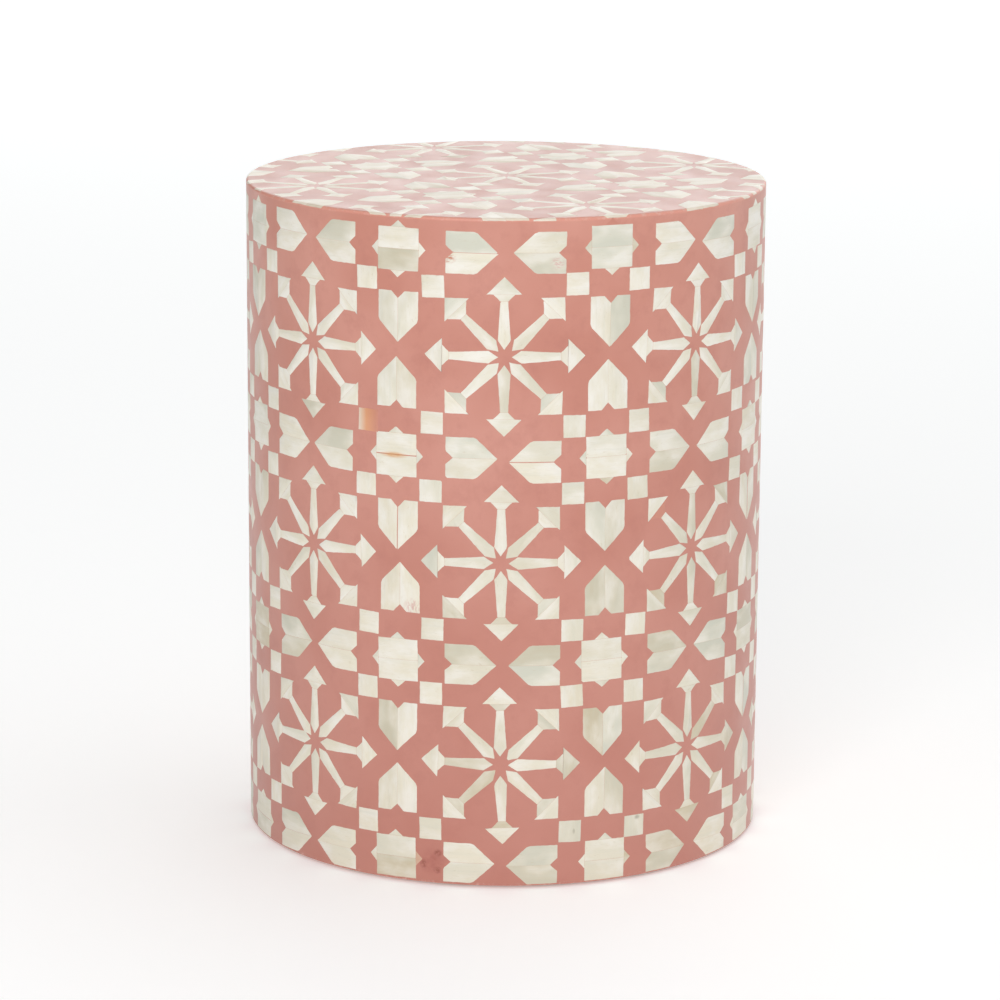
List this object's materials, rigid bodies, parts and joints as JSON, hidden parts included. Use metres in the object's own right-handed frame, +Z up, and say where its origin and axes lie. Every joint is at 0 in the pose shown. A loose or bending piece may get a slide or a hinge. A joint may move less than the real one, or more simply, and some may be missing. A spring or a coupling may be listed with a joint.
{
  "type": "drum stool",
  "caption": "Round drum stool or side table, closed and flat-topped, covered all over in bone inlay of stars, shields and squares set in coral resin.",
  "frame": {"origin": "centre of the floor plane that the pads rest on, on the drum's axis", "axes": "+Z up along the drum's axis, -Y towards the picture's camera, +X to its right"},
  "size_m": [0.354, 0.354, 0.45],
  "materials": {
    "coral_resin": "satin polished",
    "bone": "satin polished",
    "carcass_wood": "raw",
    "panel_board": "raw",
    "felt": "matte"
  },
  "bodies": {
    "root": {"floor_pads": "felt", "drum_staves": "carcass_wood", "top_panel": "panel_board", "base_panel": "panel_board", "wall_resin": "coral_resin", "seat_resin": "coral_resin", "wall_petals": "bone", "wall_axis_heads": "bone", "wall_corner_heads": "bone", "wall_upright_shields": "bone", "wall_level_shields": "bone", "wall_blocks": "bone", "wall_block_points": "bone", "wall_small_squares": "bone", "seat_petals": "bone", "seat_axis_heads": "bone", "seat_corner_heads": "bone", "seat_upright_shields": "bone", "seat_level_shields": "bone", "seat_blocks": "bone", "seat_block_points": "bone", "seat_small_squares": "bone"}
  },
  "joints": []
}
